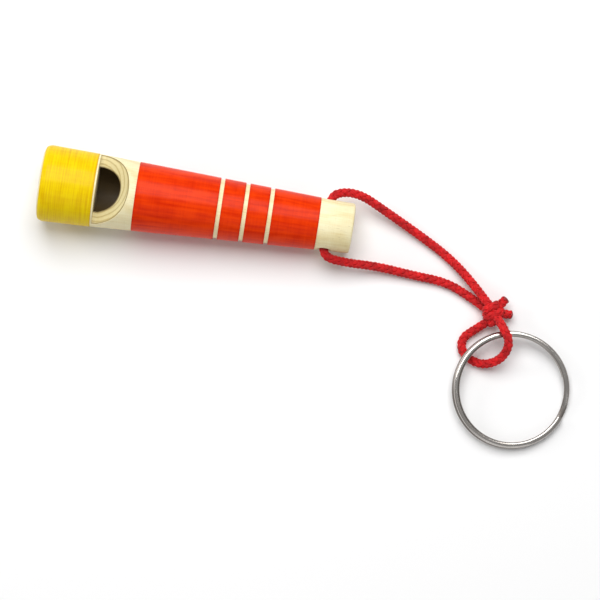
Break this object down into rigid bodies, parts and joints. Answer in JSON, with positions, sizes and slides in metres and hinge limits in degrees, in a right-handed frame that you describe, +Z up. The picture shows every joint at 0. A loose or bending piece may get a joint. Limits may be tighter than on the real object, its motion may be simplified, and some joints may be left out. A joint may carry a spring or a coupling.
{
  "type": "training whistle",
  "caption": "Turned wooden whistle with lac-coated body, sound window and fipple plug, on a knotted cord loop with a split key ring.",
  "frame": {"origin": "on the table, under the middle of the whistle lying on its side", "axes": "+X from the mouth end to the tail, +Z up out of the sound window, +Y to the left of a person blowing it"},
  "size_m": [0.1173, 0.0501, 0.0163],
  "materials": {
    "turned_wood": "bare, finely turned",
    "plug_wood": "bare, planed",
    "yellow_lac": "gloss lac",
    "red_lac": "gloss lac",
    "cord_braid": "braided",
    "ring_steel": "polished"
  },
  "bodies": {
    "whistle": {"wood_body": "turned_wood", "fipple_plug": "plug_wood", "head_lacquer": "yellow_lac", "red_lacquer_1": "red_lac", "red_lacquer_2": "red_lac", "red_lacquer_3": "red_lac", "red_lacquer_4": "red_lac"},
    "cord_loop": {"cord_leg_a": "cord_braid", "cord_leg_b": "cord_braid", "cord_knot": "cord_braid", "cord_end_a": "cord_braid", "cord_end_b": "cord_braid"},
    "bight": {"cord_bight": "cord_braid"},
    "ring": {"split_ring": "ring_steel"}
  },
  "joints": [
    {"name": "loop_swing", "type": "hinge", "parent": "whistle", "child": "cord_loop", "pos_m": [0.02801, 0, 0.00555], "axis": [0, 1, 0], "range_deg": [-135, 135]},
    {"name": "knot_flex", "type": "hinge", "parent": "cord_loop", "child": "bight", "pos_m": [0.06541, -0.0132, 0.0027], "axis": [0.9368, 0.3499, 0], "range_deg": [-60, 60]},
    {"name": "ring_turn", "type": "hinge", "parent": "bight", "child": "ring", "pos_m": [0.07123, -0.0288, 0.00137], "axis": [0.0853, -0.0716, 0.9938], "continuous": true}
  ]
}
